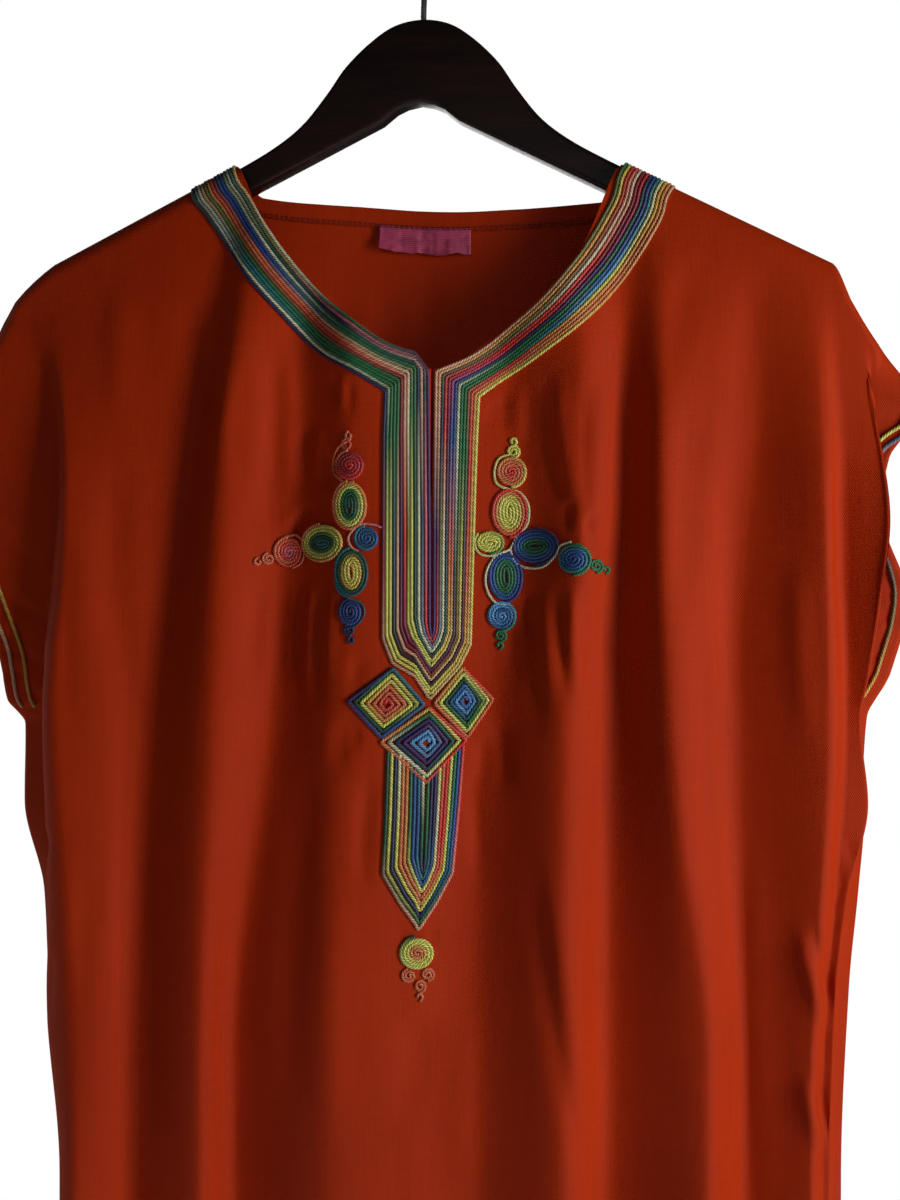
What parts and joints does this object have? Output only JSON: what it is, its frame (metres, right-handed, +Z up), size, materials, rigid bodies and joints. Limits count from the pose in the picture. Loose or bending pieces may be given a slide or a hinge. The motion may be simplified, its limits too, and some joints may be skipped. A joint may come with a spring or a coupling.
{
  "type": "moroccan kaftan on a wooden hanger",
  "caption": "Long rust-red kaftan with wide short sleeves, slit V neck and colourful cord embroidery, hanging on a dark wooden hanger with a steel hook.",
  "frame": {"origin": "inside top of the hanger's hook, where a rod or a nail holds it", "axes": "X to the viewer's right across the shoulders, Y from the front to the back, Z up"},
  "size_m": [0.563, 0.086, 1.5034],
  "materials": {
    "cloth": "rust-red twill with a soft satin sheen",
    "cord": "twisted silky cord in changing bright colours",
    "label": "woven magenta satin, plain",
    "hanger_wood": "dark mahogany stain under satin lacquer",
    "hook_steel": "polished plated steel wire"
  },
  "bodies": {
    "root": {"front_panel": "cloth", "back_panel": "cloth", "back_neck_hem": "cloth", "neck_cords": "cord", "tongue_cords": "cord", "lozenge_left": "cord", "lozenge_right": "cord", "lozenge_lower": "cord", "spray_left": "cord", "spray_right": "cord", "medallion": "cord", "sleeve_cord_left_front_outer": "cord", "sleeve_cord_left_front_inner": "cord", "sleeve_cord_right_front_outer": "cord", "sleeve_cord_right_front_inner": "cord", "sleeve_cord_left_back_outer": "cord", "sleeve_cord_left_back_inner": "cord", "sleeve_cord_right_back_outer": "cord", "sleeve_cord_right_back_inner": "cord", "label": "label", "hanger_wood": "hanger_wood", "hanger_hook": "hook_steel"}
  },
  "joints": []
}
